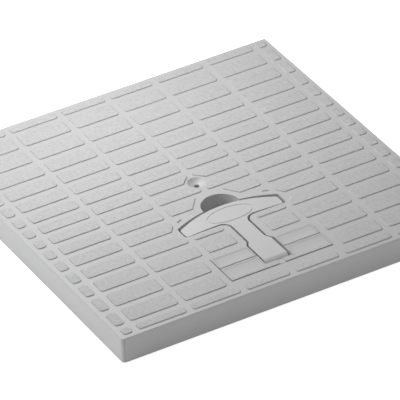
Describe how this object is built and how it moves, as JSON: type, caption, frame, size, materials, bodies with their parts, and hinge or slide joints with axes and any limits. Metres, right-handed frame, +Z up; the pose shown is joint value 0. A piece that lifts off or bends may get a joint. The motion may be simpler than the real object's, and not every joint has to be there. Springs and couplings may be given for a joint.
{
  "type": "access cover",
  "caption": "Square light-grey plastic access cover with raised tread tiles, a central screw hole and a sunk T handle that folds up out of its pocket.",
  "frame": {"origin": "middle of the cover, on the plane of the skirt's rim that it rests on", "axes": "+Z up through the tread, -Y towards the handle's hinge, +X along the long side of the tread tiles"},
  "size_m": [0.4, 0.4, 0.0295],
  "materials": {
    "moulding_grey": "light grey moulded plastic, fine grain on the tiles and smooth channels",
    "handle_grey": "light grey moulded plastic, smooth",
    "pin_steel": "drawn steel rod"
  },
  "bodies": {
    "cover": {"cover": "moulding_grey", "keeper": "moulding_grey", "hinge_pin": "pin_steel"},
    "handle": {"handle": "handle_grey"}
  },
  "joints": [
    {"name": "handle_hinge", "type": "hinge", "parent": "cover", "child": "handle", "pos_m": [0, -0.1545, 0.019], "axis": [1, 0, 0], "range_deg": [0, 95]}
  ]
}
